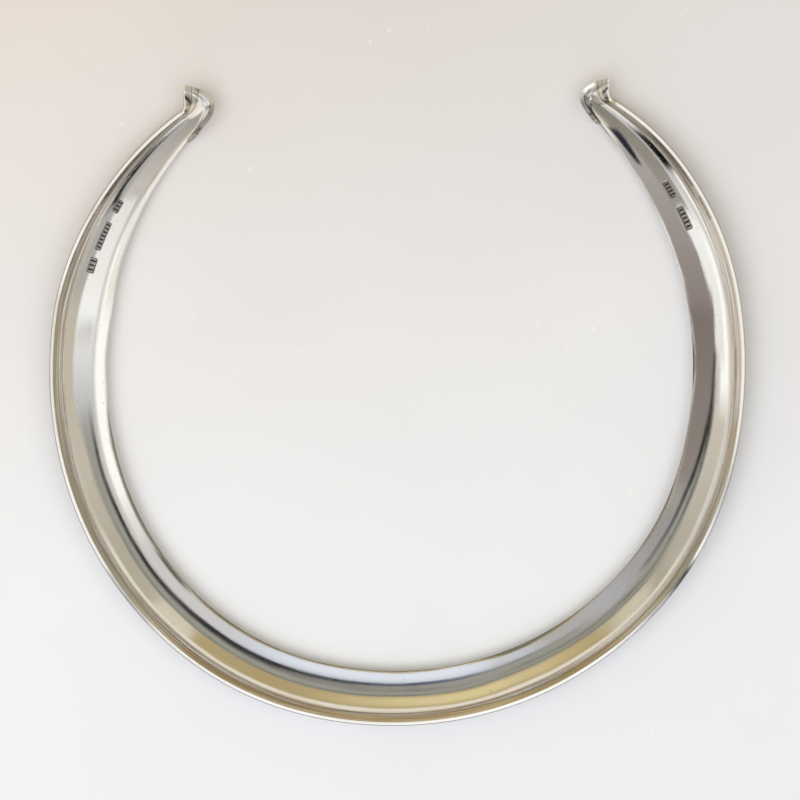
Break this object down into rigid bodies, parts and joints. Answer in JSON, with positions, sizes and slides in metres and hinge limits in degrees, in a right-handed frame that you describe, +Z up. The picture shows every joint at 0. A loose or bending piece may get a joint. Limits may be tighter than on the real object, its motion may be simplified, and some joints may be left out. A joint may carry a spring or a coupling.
{
  "type": "torc",
  "caption": "Silver torc: an open neck ring raised from one strip of sheet silver, hollow at the back, with small flared lips and sunk marks.",
  "frame": {"origin": "middle of the box that the torc fills, at the surface that it lies on", "axes": "+Z up out of the hollow back, which is the side that faces up as it lies; +Y from the middle of the ring to the gap between the terminals; +X to the right seen from above"},
  "size_m": [0.1388, 0.129, 0.0061],
  "materials": {
    "silver": "polished by hand, with fine scratches and slight tarnish"
  },
  "bodies": {
    "root": {"torc": "silver"}
  },
  "joints": []
}
